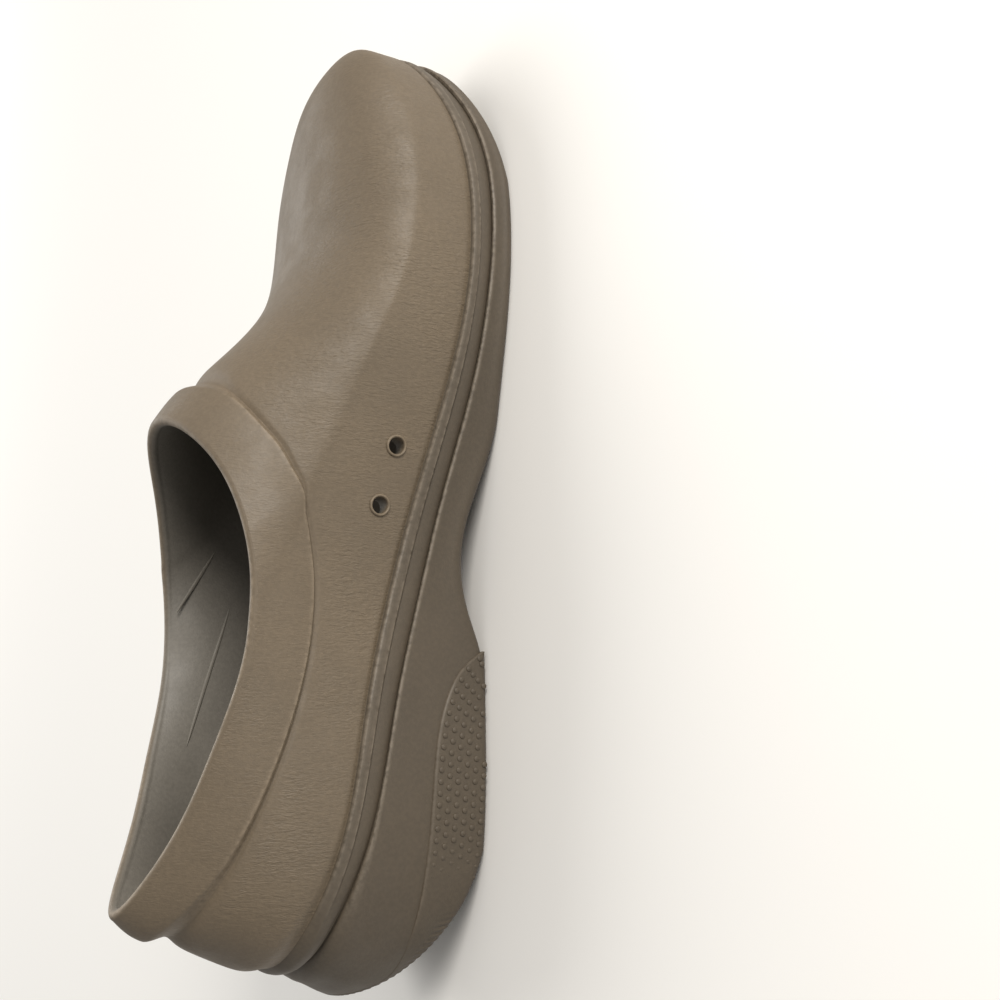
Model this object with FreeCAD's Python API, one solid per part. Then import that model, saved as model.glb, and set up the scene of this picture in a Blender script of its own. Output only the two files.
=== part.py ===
import FreeCAD, Part
import math
import os

# A left-foot moulded garden clog, standing on its sole.
# Frame: +Z up, toe towards -Y, the inner (medial) side towards -X, ground at Z = 0.
# A "station" is a distance along the clog, measured forward from the back of the heel.

# ---- driving dimensions (mm) ----
LENGTH = 278.0            # overall length, heel to toe
UPPER_WALL = 4.5          # thickness of the upper's wall
COLLAR_PROUD = 1.3        # how far the collar band stands out from the upper
COLLAR_WALL = 5.6         # thickness of the collar band
WELT_INSET = 1.5          # upper's foot, inside the midsole's edge
OUTSOLE_WALL = 4.5        # outsole wall around the midsole's cup
MIDSOLE_WALL = 2.5        # midsole cup wall inside the outsole
MIDSOLE_FLOOR = 2.5       # midsole under the footbed
FOOTBED_THICK = 4.0
FOOTBED_GAP = 0.2         # footbed edge to midsole cup
TREAD_THICK = 3.0         # forefoot tread
HEEL_TREAD_WALL = 2.6     # heel tread's side wall around the heel block
HEEL_TREAD_SOLE = 5.0     # heel tread under the heel block
VENT_BORE = 4.6           # vent hole diameter
VENTS = [(146.2, 31.0), (129.6, 34.3)]     # (station, height) of the two vents
GROOVE_WIDTH = 2.4        # water channels of both treads
GROOVE_DEPTH = 1.6
FORE_GROOVE_PITCH = 9.0
HEEL_GROOVE_PITCH = 8.0

# ---- drawing resolution ----
RAYS = 36                 # rays on each side, from the heel's back to the toe
SHELL_ROWS = 11           # rows of control points from the sole to the collar seam
COLLAR_ROWS = 6           # rows of control points from the seam to the rim
RAY_STEPS = 60            # points along a ray before it is respaced
FAR = 90.0                # half-width of the cutting prisms


def natural_spline(xs, ys):
    """A natural cubic spline through the points, as a function held flat past its ends."""
    n = len(xs)
    h = [xs[i + 1] - xs[i] for i in range(n - 1)]
    diag = [1.0] * n
    mu = [0.0] * n
    z = [0.0] * n
    m = [0.0] * n
    for i in range(1, n - 1):
        slope = 3 * ((ys[i + 1] - ys[i]) / h[i] - (ys[i] - ys[i - 1]) / h[i - 1])
        diag[i] = 2 * (xs[i + 1] - xs[i - 1]) - h[i - 1] * mu[i - 1]
        mu[i] = h[i] / diag[i]
        z[i] = (slope - h[i - 1] * z[i - 1]) / diag[i]
    for j in range(n - 2, -1, -1):
        m[j] = z[j] - mu[j] * m[j + 1]

    def value(x):
        x = min(max(x, xs[0]), xs[-1])
        j = 0
        while j < n - 2 and x > xs[j + 1]:
            j += 1
        d = x - xs[j]
        b = (ys[j + 1] - ys[j]) / h[j] - h[j] * (m[j + 1] + 2 * m[j]) / 3
        return ys[j] + d * (b + d * (m[j] + d * (m[j + 1] - m[j]) / (3 * h[j])))
    return value


def turn_of(station, back=0.0, front=LENGTH):
    """Share of a half turn from the back to the front, so that round ends stay round."""
    return math.acos(max(-1.0, min(1.0, 1 - 2 * (station - back) / (front - back)))) / math.pi


def station_of(turn, back=0.0, front=LENGTH):
    return back + (front - back) * (1 - math.cos(math.pi * turn)) / 2


def along(points):
    """A value against station."""
    return natural_spline([p[0] for p in points], [p[1] for p in points])


def round_along(points, back=0.0, front=LENGTH):
    """A value against turn, given as (station, value): for outlines with round ends."""
    return natural_spline([turn_of(p[0], back, front) for p in points], [p[1] for p in points])


# ---- the clog's lines ----
# Half-widths of the sole's outline, inner and outer side.
INNER = round_along([(0, 0), (2, 11.5), (8, 21.5), (18, 29), (35, 34), (60, 35.8), (90, 35),
                     (120, 36), (150, 41), (180, 47), (205, 49.5), (229, 47.5), (248, 41.5),
                     (263, 33), (273, 23), (277, 14), (278, 9)])
OUTER = round_along([(0, 0), (2, 11.5), (8, 21.5), (18, 29.5), (35, 35), (60, 38), (90, 40.5),
                     (120, 44), (150, 48.5), (175, 51), (200, 49.5), (221, 45), (241, 36.5),
                     (258, 25), (270, 11.5), (276, 0), (278, -9)])
# Heights along the sole: underside, outsole's top line, midsole's top line.
# The underside's line dips below Z = 0 where the treads are flat on the ground.
GROUND = along([(0, 27), (4, 20), (10, 13.5), (20, 6.8), (32, 1.8), (43, -0.8), (76, -0.8),
                (92, 1), (103, 5), (114, 7.5), (126, 7), (140, 3.3), (152, 0.5), (175, -0.3),
                (190, -0.5), (222, -0.5), (245, 3), (262, 7.5), (278, 14)])
LINE_1 = along([(0, 44), (15, 41.5), (39, 34.9), (79, 27.2), (106, 21.2), (134, 15.7),
                (163, 10.2), (191, 7.4), (215, 6.5), (239, 7.5), (259, 11.5), (278, 19)])
LINE_2 = along([(0, 51.5), (15, 48.3), (39, 42.2), (79, 35.5), (106, 30), (134, 23.8),
                (163, 17.7), (191, 13.9), (215, 13.3), (239, 15), (259, 19.5), (278, 27)])
# Floor of the pocket that the outsole holds the midsole in.
POCKET = along([(0, 23), (50, 21.5), (90, 18), (114, 15), (130, 13), (150, 10), (175, 6.5),
                (200, 5), (222, 5), (243, 6.5), (260, 10), (278, 15.5)])
# Top edge of the heel tread on the heel's flank.
HEEL_TREAD_TOP = along([(-10, 22), (20, 19), (40, 17.6), (60, 16.6), (72, 15), (81, 12),
                        (89, 6), (95, -3)])
# The vamp: height of its ridge, height of its widest line, sideways place of the ridge.
RIDGE = along([(120, 117), (135, 101), (150, 87.9), (165, 77.0), (180, 64), (195, 54),
               (212, 50), (230, 49.5), (249, 48), (263, 45), (271, 40.5), (275.5, 35.5),
               (278, 30)])
WIDEST = along([(100, 46), (150, 34), (200, 25), (239, 24), (263, 27), (278, 29)])
RIDGE_X = round_along([(0, 0), (100, 0), (200, -3), (259, -8), (278, -9)])
# Fullness of the vamp's section on each side: 2 is an ellipse.
FULL_INNER = along([(100, 2.3), (150, 2.1), (200, 2.1), (278, 2.2)])
FULL_OUTER = along([(100, 2.0), (150, 1.65), (185, 1.7), (215, 1.85), (245, 2.0), (278, 2.1)])
# Forward lean of the heel's back and backward lean of the toe, against height.
HEEL_LEAN = along([(0, 6), (8, 3.6), (14, 1.9), (19, 0.7), (27, -0.6), (33, 0.5), (36, 2),
                   (42, 4.6), (52, 7), (61, 9)])
TOE_LEAN = along([(5, 5), (12, 3), (19, 2), (26, 2.2), (33, 1), (60, 0)])
LEAN_REACH = 60.0         # how far along the clog each lean fades out
# How late a ray of the wall turns inwards: 1 is a straight ray.
HEEL_POWER = 1.2
SIDE_POWER = 1.7
# The rim of the foot opening.
RIM_BACK = 24.3
RIM_FRONT = 152.3
RIM_HEIGHT = along([(22, 91.3), (45, 80.5), (65, 74.6), (85, 69.9), (105, 69), (125, 72.6),
                    (140, 78.4), (155, 88.3)])
RIM_HALF = round_along([(24.3, 0), (32, 11.3), (45, 19.6), (65, 28.2), (85, 34.5), (105, 37.3),
                        (125, 33.5), (142, 23), (152.3, 0)], RIM_BACK, RIM_FRONT)
RIM_X = along([(25, 1), (60, 2), (100, 3), (152, -1)])
# Width of the collar band along a ray, against the ray's turn.
COLLAR_WIDTH = natural_spline([0, 0.15, 0.25, 0.36, 0.42, 0.49, 0.55, 0.6, 0.8, 1],
                              [16.4, 16.6, 17.7, 18, 19.4, 20.2, 19, 17.2, 16.6, 16.8])


def smooth(x, low, high):
    q = min(1.0, max(0.0, (x - low) / (high - low)))
    return q * q * (3 - 2 * q)


def lean(station, z):
    """The station at height z, moved by the heel's and the toe's lean."""
    heel = HEEL_LEAN(z) * max(0.0, 1 - station / LEAN_REACH) ** 2
    toe = TOE_LEAN(z) * max(0.0, 1 - (LENGTH - station) / LEAN_REACH) ** 2
    return station + heel - toe


def half_width(turn, side):
    return INNER(turn) if side < 0 else OUTER(turn)


def ring_turns():
    """(turn, side) of each ray in order: up the inner side and back down the outer side."""
    inner = [(i / RAYS, -1) for i in range(RAYS + 1)]
    outer = [(i / RAYS, 1) for i in range(RAYS - 1, 0, -1)]
    return inner + outer


# The frame's origin is under the middle of the sole's box.
MIDDLE_X = (max(OUTER(i / 200) for i in range(201)) - max(INNER(i / 200) for i in range(201))) / 2


def place(x, station, z):
    """A point of the clog in the part's frame."""
    return FreeCAD.Vector(x - MIDDLE_X, LENGTH / 2 - station, z)


def vamp_height(station, x):
    """Height of the vamp's surface above a point of the plan."""
    turn = turn_of(station)
    mid = RIDGE_X(turn)
    low = WIDEST(station)
    if x < mid:
        across = (mid - x) / max(mid + INNER(turn), 1e-6)
        full = FULL_INNER(station)
    else:
        across = (x - mid) / max(OUTER(turn) - mid, 1e-6)
        full = FULL_OUTER(station)
    rise = max(0.0, 1 - min(1.0, across) ** full) ** (1 / full)
    return low + (RIDGE(station) - low) * rise


def respace(points, shares):
    """Points at the given shares of a polyline's length."""
    run = [0.0]
    for p, q in zip(points, points[1:]):
        run.append(run[-1] + math.dist(p, q))
    found = []
    j = 0
    for share in shares:
        goal = share * run[-1]
        while j < len(run) - 2 and run[j + 1] < goal:
            j += 1
        k = min(1.0, max(0.0, (goal - run[j]) / max(run[j + 1] - run[j], 1e-9)))
        p = points[j]
        q = points[j + 1]
        found.append(tuple(p[i] + k * (q[i] - p[i]) for i in range(3)))
    return found, run[-1]


def ray(turn, side, shares):
    """Points (x, station, z) up one ray of the upper, from the sole to the rim."""
    plan = station_of(turn)
    z0 = LINE_2(plan)
    x0 = side * (half_width(turn, side) - WELT_INSET * math.sin(math.pi * turn))
    s0 = lean(plan, z0)
    rim_turn = turn + 0.517 * turn * (1 - turn)
    s1 = station_of(rim_turn, RIM_BACK, RIM_FRONT)
    x1 = RIM_X(s1) + side * RIM_HALF(rim_turn)
    z1 = RIM_HEIGHT(s1)
    power = HEEL_POWER + (SIDE_POWER - HEEL_POWER) * smooth(turn, 0, 0.25)
    wall = []
    for k in range(RAY_STEPS + 1):
        rise = k / RAY_STEPS
        inward = rise ** power
        wall.append((x0 + (x1 - x0) * inward, s0 + (s1 - s0) * inward, z0 + (z1 - z0) * rise))
    wall, length = respace(wall, shares)
    share = smooth(turn, 0.38, 0.60)
    if share == 0:
        return wall, length
    foot = 6
    over = [(x0, s0, z0 + (WIDEST(plan) - z0) * k / foot) for k in range(foot)]
    for k in range(RAY_STEPS + 1):
        inward = 1 - math.cos(math.pi / 2 * k / RAY_STEPS)
        x = x0 + (x1 - x0) * inward
        station = s0 + (s1 - s0) * inward
        over.append((x, station, vamp_height(station, x)))
    miss = z1 - over[-1][2]
    over = [(p[0], p[1], p[2] + miss * max(0.0, (i - foot) / RAY_STEPS) ** 2.5)
            for i, p in enumerate(over)]
    over, over_length = respace(over, shares)
    mixed = [tuple(w[i] + (v[i] - w[i]) * share for i in range(3)) for w, v in zip(wall, over)]
    return mixed, length + (over_length - length) * share


def rows_of(grid):
    """Turn a list of rays into a list of rings."""
    return [[one[j] for one in grid] for j in range(len(grid[0]))]


def outer_rows():
    """Rings of the upper's outer face below the seam, and of the collar above it."""
    shell = []
    collar = []
    for turn, side in ring_turns():
        length = ray(turn, side, [0, 1])[1]
        seam = 1 - COLLAR_WIDTH(turn) / length
        low = [seam * j / (SHELL_ROWS - 1) for j in range(SHELL_ROWS)]
        high = [seam + (1 - seam) * j / (COLLAR_ROWS - 1) for j in range(COLLAR_ROWS)]
        shell.append([place(*p) for p in ray(turn, side, low)[0]])
        collar.append([place(*p) for p in ray(turn, side, high)[0]])
    return rows_of(shell), rows_of(collar)


def row_normals(rows):
    """Outward unit normals of a closed grid, by the differences of neighbours."""
    count = len(rows[0])
    normals = []
    for j, row in enumerate(rows):
        above = rows[min(j + 1, len(rows) - 1)]
        below = rows[max(j - 1, 0)]
        line = []
        for i in range(count):
            round_it = row[(i + 1) % count].sub(row[i - 1])
            upward = above[i].sub(below[i])
            normal = round_it.cross(upward)
            normal.normalize()
            line.append(normal)
        normals.append(line)
    return normals


def shifted(row, normals, distance):
    return [p + n * distance for p, n in zip(row, normals)]


def half_edges(row):
    """A smooth closed ring, as one edge for each side of the clog."""
    count = len(row)
    edges = []
    for first in (0, RAYS):
        curve = Part.BSplineCurve()
        curve.buildFromPolesMultsKnots(row, [1] * (count + 1), list(range(count + 1)), True, 3)
        curve.segment(first, first + RAYS)
        edges.append(curve.toShape())
    return edges


def tube_faces(rows):
    """Smooth faces through closed rings, one for each side of the clog."""
    around = len(rows[0])
    up = len(rows)
    poles = [[rows[j][i] for j in range(up)] for i in range(around)]
    faces = []
    for first in (0, RAYS):
        surface = Part.BSplineSurface()
        surface.buildFromPolesMultsKnots(
            poles, [1] * (around + 1), [4] + [1] * (up - 4) + [4],
            list(range(around + 1)), list(range(up - 2)), True, False, 3, 3)
        surface.segment(first, first + RAYS, 0, up - 3)
        faces.append(surface.toShape())
    return faces


def band_faces(row_a, row_b):
    """Straight faces between two rings."""
    return [Part.makeRuledSurface(a, b) for a, b in zip(half_edges(row_a), half_edges(row_b))]


def cap_face(row):
    """A flat face inside a level ring."""
    return Part.Face(Part.Wire(half_edges(row)))


def closed_solid(faces):
    """One solid from faces that meet along their edges."""
    shell = Part.makeShell(faces)
    shell.sewShape()
    solid = Part.makeSolid(shell)
    if solid.Volume < 0:
        solid.reverse()
    return solid


def sole_outline(z, inset):
    """The sole's outline at height z, drawn in by inset."""
    points = []
    for turn, side in ring_turns():
        station = lean(station_of(turn), z)
        points.append(place(side * half_width(turn, side), station, z))
    if inset == 0:
        return points
    count = len(points)
    moved = []
    for i, p in enumerate(points):
        tangent = points[(i + 1) % count].sub(points[i - 1])
        inward = FreeCAD.Vector(-tangent.y, tangent.x, 0)
        inward.normalize()
        moved.append(p + inward * inset)
    return moved


def sole_body(inset=0.0):
    """A column with the sole's outline, leaning in at the heel and the toe."""
    heights = [-6, 2, 8, 14, 21, 29, 36, 43, 52, 60]
    rows = [sole_outline(z, inset) for z in heights]
    return closed_solid(tube_faces(rows) + [cap_face(rows[0]), cap_face(rows[-1])])


def side_prism(low, high, back=-20.0, front=LENGTH + 20.0, steps=60):
    """Everything between two height lines, from one side of the clog to the other."""
    def line(height):
        if not callable(height):
            return [FreeCAD.Vector(-FAR, LENGTH / 2 - s, height) for s in (back, front)]
        stations = [back + (front - back) * k / steps for k in range(steps + 1)]
        return [FreeCAD.Vector(-FAR, LENGTH / 2 - s, height(s)) for s in stations]

    def edge(points):
        if len(points) == 2:
            return Part.LineSegment(points[0], points[1]).toShape()
        curve = Part.BSplineCurve()
        curve.interpolate(points)
        return curve.toShape()

    under = line(low)
    over = line(high)
    wire = Part.Wire([edge(under),
                      Part.LineSegment(under[-1], over[-1]).toShape(),
                      edge(over[::-1]),
                      Part.LineSegment(over[0], under[0]).toShape()])
    return Part.Face(wire).extrude(FreeCAD.Vector(2 * FAR, 0, 0))


def offset_line(line, rise):
    return lambda station: line(station) + rise


def grooves(first, last, pitch, height):
    """Straight water channels across the underside, between two stations."""
    count = int((last - first) / pitch) + 1
    bars = []
    for k in range(count):
        station = first + k * pitch
        corner = place(-FAR, station + GROOVE_WIDTH / 2, -1)
        rise = 1 + max(0.0, height(station)) + GROOVE_DEPTH
        bars.append(Part.makeBox(2 * FAR, GROOVE_WIDTH, rise, corner))
    return Part.makeCompound(bars)


def vent_tools():
    """Cutters for the vents: straight bores through the inner wall."""
    cutters = []
    for station, height in VENTS:
        skin = -INNER(turn_of(station))
        mouth = place(skin - 10, station, height)
        axis = FreeCAD.Vector(1, 0, 0)
        cutters.append(Part.makeCylinder(VENT_BORE / 2, 30, mouth, axis))
    return cutters


def make_upper_and_collar():
    shell_rows, collar_rows = outer_rows()
    all_rows = shell_rows[:-1] + collar_rows
    normals = row_normals(all_rows)
    seam = SHELL_ROWS - 1

    skirt_drop = 9.0
    drop = FreeCAD.Vector(0, 0, -skirt_drop)
    outside = [[p + drop for p in shell_rows[0]]] + shell_rows
    inside = [shifted(row, line, -UPPER_WALL) for row, line in zip(shell_rows, normals)]
    inside = [[p + drop for p in inside[0]]] + inside
    upper = closed_solid(tube_faces(outside) + tube_faces(inside)
                         + band_faces(outside[0], inside[0])
                         + band_faces(outside[-1], inside[-1]))
    upper = upper.cut(side_prism(-30.0, LINE_2))
    for cutter in vent_tools():
        upper = upper.cut(cutter)

    collar_normals = normals[seam:]
    proud = [0.55, 1.0, 1.0, 1.0, 0.7, 0.0]
    around = [shifted(row, line, COLLAR_PROUD * rise)
              for row, line, rise in zip(collar_rows, collar_normals, proud)]
    crest = shifted(collar_rows[-1], collar_normals[-1], -COLLAR_WALL / 2)
    crest = [p + FreeCAD.Vector(0, 0, 1.4) for p in crest]
    within = [shifted(row, line, -COLLAR_WALL)
              for row, line in zip(collar_rows[::-1], collar_normals[::-1])]
    within[-1] = shifted(collar_rows[0], collar_normals[0], -UPPER_WALL)
    collar = closed_solid(tube_faces(around + [crest] + within)
                          + band_faces(around[0], within[-1]))
    return upper, collar


def make_sole():
    body = sole_body()
    cup_room = sole_body(OUTSOLE_WALL)
    bed_room = sole_body(OUTSOLE_WALL + MIDSOLE_WALL)
    bed_floor = offset_line(POCKET, MIDSOLE_FLOOR)
    bed_top = offset_line(POCKET, MIDSOLE_FLOOR + FOOTBED_THICK)

    cup = cup_room.common(side_prism(POCKET, 59.0))
    bed = bed_room.common(side_prism(bed_floor, 58.0))

    heel_block = body.common(side_prism(-5.0, HEEL_TREAD_TOP, back=-10.0, front=97.0))
    heel_core = sole_body(HEEL_TREAD_WALL).common(
        side_prism(HEEL_TREAD_SOLE, 50.0, front=97.0 - HEEL_TREAD_WALL))
    heel_shell = heel_block.cut(heel_core)
    fore_shell = body.common(side_prism(-5.0, offset_line(GROUND, TREAD_THICK),
                                        back=146.0, front=268.0))

    below_ground = Part.makeBox(2 * FAR, LENGTH + 40, 10, place(-FAR, LENGTH + 20, -10))
    base = body.common(side_prism(GROUND, LINE_1)).cut(below_ground).cut(cup)
    outsole = base.cut(heel_shell).cut(fore_shell)
    heel_tread = base.common(heel_shell).cut(grooves(42.0, 84.0, HEEL_GROOVE_PITCH, GROUND))
    forefoot_tread = base.common(fore_shell).cut(
        grooves(154.0, 262.0, FORE_GROOVE_PITCH, GROUND))
    rim = body.common(side_prism(LINE_1, LINE_2))
    midsole = rim.fuse(cup.common(side_prism(-5.0, LINE_2))).removeSplitter().cut(bed)
    footbed = sole_body(OUTSOLE_WALL + MIDSOLE_WALL + FOOTBED_GAP).common(
        side_prism(bed_floor, bed_top))
    return {"outsole": outsole, "heel_tread": heel_tread, "forefoot_tread": forefoot_tread,
            "midsole": midsole, "footbed": footbed}


def main():
    parts = make_sole()
    parts["upper_shell"], parts["collar_band"] = make_upper_and_collar()
    os.makedirs("parts", exist_ok=True)
    for name, shape in parts.items():
        shape.exportStep("parts/" + name + ".step")
        box = shape.optimalBoundingBox(False, False)
        print(name, "solids", len(shape.Solids), "valid", shape.isValid(),
              "volume cm3", round(shape.Volume / 1000, 2),
              "box", [round(v, 1) for v in (box.XMin, box.YMin, box.ZMin,
                                            box.XMax, box.YMax, box.ZMax)])


main()
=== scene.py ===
import math

import bmesh
import bpy
import numpy as np
from mathutils import Matrix, Vector
from mathutils.kdtree import KDTree


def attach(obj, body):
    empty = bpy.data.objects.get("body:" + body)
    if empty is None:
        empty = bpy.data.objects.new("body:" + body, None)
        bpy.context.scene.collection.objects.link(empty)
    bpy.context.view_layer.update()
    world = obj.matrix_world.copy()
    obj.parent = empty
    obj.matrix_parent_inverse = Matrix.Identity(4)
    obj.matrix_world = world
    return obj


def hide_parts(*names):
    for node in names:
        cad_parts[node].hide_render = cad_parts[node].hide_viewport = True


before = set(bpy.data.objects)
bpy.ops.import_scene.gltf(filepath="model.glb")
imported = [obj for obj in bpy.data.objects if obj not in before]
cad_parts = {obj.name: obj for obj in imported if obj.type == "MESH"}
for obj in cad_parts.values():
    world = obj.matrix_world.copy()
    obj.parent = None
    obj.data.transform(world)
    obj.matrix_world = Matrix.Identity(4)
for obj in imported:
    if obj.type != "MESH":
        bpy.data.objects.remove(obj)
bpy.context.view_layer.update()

# A left-foot moulded garden clog: the detailed pieces that stand for the CAD solids.
# Shapes are worked out in millimetres on the CAD's own lines and turned into metres at the end.
# A "station" is a distance along the clog, measured forward from the back of the heel.
MM = 0.001
LENGTH = 278.0            # overall length
UPPER_WALL = 4.5          # thickness of the upper's wall
COLLAR_PROUD = 1.2        # how far the collar band stands out from the upper
LIP_RADIUS = 1.6          # rounding of the collar's rim
WELT_INSET = 1.5          # upper's foot, inside the midsole's edge
OUTSOLE_WALL = 4.5        # outsole wall round the midsole's cup
CUP_INSET = 7.0           # midsole's inner face, inside the sole's outline
BED_RISE = 6.5            # top of the footbed above the outsole's pocket
VENT_BORE = 4.6
VENT_RING = 6.0
VENTS = [(146.2, 31.0), (129.6, 34.3)]     # (station, height) of the two vents
# Two raised ribs on the outer side's inner wall, each between two (station, height) points.
LINING_RIBS = [((106, 66.5), (126, 54.5)), ((67, 63), (109, 49.5))]
# Colours of the rubber, linear.
COLOUR = (0.116, 0.087, 0.055)
# The sole's colour is darker, partly its own darker rubber and partly painted shade over its low
# sides.
SOLE_COLOUR_AND_SHADE = (0.068, 0.052, 0.034)
# A greyer copy of the rubber's colour for the inside surfaces: painted shade tone.
INSIDE_SHADE_TONE = (0.150, 0.137, 0.116)

UPPER_SINK = 1.5          # how far the upper's foot goes down into the midsole
RIM_SLACK = 0.35          # the collar's rounding stops this much short of the rim line
TREAD_RECESS = 1.7        # hollow in the underside that takes the treads
TREAD_FRONT = 92.0        # station at which the heel's tread ends
TREAD_PROUD = 0.5         # how far its flanks stand out from the outsole
BACK_CREST = 4.0          # extra height of the tread's edge round the heel's back
NOTCH_PITCH = 1.7         # serrations along the heel's back lower edge
NOTCH_DEPTH = 0.42
BUMP_PITCH = 3.0          # round bumps on the heel's flanks
BUMP_RADIUS = 0.85
BUMP_HEIGHT = 0.42
HEEL_LUG = 1.3            # height of the heel's blocks
NUB_PITCH = 5.4           # small domes on the footbed
# The welt's section along the sides: (share of its height, inset, wear and painted highlight on the
# bead's edges).
BEAD = [(0.0, 1.5, 0), (0.03, 1.42, 0), (0.10, 1.2, 0), (0.2, 1.0, 0), (0.32, 0.9, 0),
        (0.44, 0.88, 0), (0.55, 0.95, 0), (0.585, 0.6, 0.3), (0.61, 0.25, 0.7),
        (0.64, 0.06, 1), (0.69, 0.0, 0.4), (0.79, 0.0, 0.1), (0.89, 0.03, 0.3),
        (0.94, 0.15, 0.9), (0.975, 0.45, 0.8), (1.0, 0.95, 0.3)]
# The outsole's lip: (drop, inset) along the sides, (drop, inset) at the heel's back, wear and
# painted highlight on the lip's edge.
SOLE_LIP = [((0.5, 3.2), (0.9, 3.2), 0), ((0.12, 1.45), (0.5, 2.3), 0.2),
            ((-0.05, 0.85), (1.0, 1.5), 1), ((0.0, 0.35), (1.8, 0.85), 1),
            ((0.45, 0.0), (3.0, 0.25), 0.6), ((1.0, -0.02), (4.5, 0.0), 0)]
# The heel tread's upper edge: (drop, inset, wear and painted highlight on its ledge).
TREAD_EDGE = [(0.0, 1.4, 0), (0.0, 0.25, 0.6), (0.12, -0.18, 1), (0.4, -0.42, 0.7),
              (0.9, -0.5, 0.1)]

RAYS = 300                # rays on each side, from the heel's back to the toe
RAY_STEPS = 160           # points along a ray before it is respaced
SKIN_ROWS = 240           # points along a ray afterwards
SKIN_EASE = 12            # rounds of easing for the whole surface
SEAM_EASE = 500           # rounds of easing for the collar's seam
EDGE_SLACK = 0.22         # keeps the finer outline within the solid model's size
BACK_SLACK = 0.60         # the same, more at the heel's back


# ---- splines ----
def natural_spline(xs, ys):
    """A natural cubic spline through the points, held flat past its ends."""
    xs = np.array(xs, float)
    ys = np.array(ys, float)
    n = len(xs)
    h = np.diff(xs)
    rows = np.eye(n)
    right = np.zeros(n)
    for i in range(1, n - 1):
        rows[i, i - 1:i + 2] = h[i - 1], 2 * (h[i - 1] + h[i]), h[i]
        right[i] = 3 * ((ys[i + 1] - ys[i]) / h[i] - (ys[i] - ys[i - 1]) / h[i - 1])
    m = np.linalg.solve(rows, right)

    def value(x):
        x = np.clip(np.asarray(x, float), xs[0], xs[-1])
        j = np.clip(np.searchsorted(xs, x) - 1, 0, n - 2)
        d = x - xs[j]
        b = (ys[j + 1] - ys[j]) / h[j] - h[j] * (m[j + 1] + 2 * m[j]) / 3
        return ys[j] + d * (b + d * (m[j] + d * (m[j + 1] - m[j]) / (3 * h[j])))
    return value


def turn_of(station, back=0.0, front=LENGTH):
    """Share of a half turn from the back to the front, so that round ends stay round."""
    return np.arccos(np.clip(1 - 2 * (station - back) / (front - back), -1, 1)) / np.pi


def station_of(turn, back=0.0, front=LENGTH):
    return back + (front - back) * (1 - np.cos(np.pi * turn)) / 2


def along(points):
    return natural_spline([p[0] for p in points], [p[1] for p in points])


def round_along(points, back=0.0, front=LENGTH):
    return natural_spline([float(turn_of(p[0], back, front)) for p in points],
                          [p[1] for p in points])


# ---- the clog's lines, the same as in the solid model ----
INNER = round_along([(0, 0), (2, 11.5), (8, 21.5), (18, 29), (35, 34), (60, 35.8), (90, 35),
                     (120, 36), (150, 41), (180, 47), (205, 49.5), (229, 47.5), (248, 41.5),
                     (263, 33), (273, 23), (277, 14), (278, 9)])
OUTER = round_along([(0, 0), (2, 11.5), (8, 21.5), (18, 29.5), (35, 35), (60, 38), (90, 40.5),
                     (120, 44), (150, 48.5), (175, 51), (200, 49.5), (221, 45), (241, 36.5),
                     (258, 25), (270, 11.5), (276, 0), (278, -9)])
GROUND = along([(0, 27), (4, 20), (10, 13.5), (20, 6.8), (32, 1.8), (43, -0.8), (76, -0.8),
                (92, 1), (103, 5), (114, 7.5), (126, 7), (140, 3.3), (152, 0.5), (175, -0.3),
                (190, -0.5), (222, -0.5), (245, 3), (262, 7.5), (278, 14)])
LINE_1 = along([(0, 44), (15, 41.5), (39, 34.9), (79, 27.2), (106, 21.2), (134, 15.7),
                (163, 10.2), (191, 7.4), (215, 6.5), (239, 7.5), (259, 11.5), (278, 19)])
LINE_2 = along([(0, 51.5), (15, 48.3), (39, 42.2), (79, 35.5), (106, 30), (134, 23.8),
                (163, 17.7), (191, 13.9), (215, 13.3), (239, 15), (259, 19.5), (278, 27)])
POCKET = along([(0, 23), (50, 21.5), (90, 18), (114, 15), (130, 13), (150, 10), (175, 6.5),
                (200, 5), (222, 5), (243, 6.5), (260, 10), (278, 15.5)])
HEEL_TREAD_TOP = along([(-10, 22), (20, 19), (40, 17.6), (60, 16.6), (72, 15), (81, 12),
                        (89, 6), (95, -3)])
RIDGE = along([(120, 117), (135, 101), (150, 87.9), (165, 77.0), (180, 64), (195, 54),
               (212, 50), (230, 49.5), (249, 48), (263, 45), (271, 40.5), (275.5, 35.5),
               (278, 30)])
WIDEST = along([(100, 46), (150, 34), (200, 25), (239, 24), (263, 27), (278, 29)])
RIDGE_X = round_along([(0, 0), (100, 0), (200, -3), (259, -8), (278, -9)])
FULL_INNER = along([(100, 2.3), (150, 2.1), (200, 2.1), (278, 2.2)])
FULL_OUTER = along([(100, 2.0), (150, 1.65), (185, 1.7), (215, 1.85), (245, 2.0), (278, 2.1)])
HEEL_LEAN = along([(0, 6), (8, 3.6), (14, 1.9), (19, 0.7), (27, -0.6), (33, 0.5), (36, 2),
                   (42, 4.6), (52, 7), (61, 9)])
TOE_LEAN = along([(5, 5), (12, 3), (19, 2), (26, 2.2), (33, 1), (60, 0)])
LEAN_REACH = 60.0
HEEL_POWER = 1.2          # how late a ray of the wall turns inwards: 1 is a straight ray
SIDE_POWER = 1.7
RIM_BACK = 24.3
RIM_FRONT = 152.3
RIM_HEIGHT = along([(22, 91.3), (45, 80.5), (65, 74.6), (85, 69.9), (105, 69), (125, 72.6),
                    (140, 78.4), (155, 88.3)])
RIM_HALF = round_along([(24.3, 0), (32, 11.3), (45, 19.6), (65, 28.2), (85, 34.5), (105, 37.3),
                        (125, 33.5), (142, 23), (152.3, 0)], RIM_BACK, RIM_FRONT)
RIM_X = along([(25, 1), (60, 2), (100, 3), (152, -1)])
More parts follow.
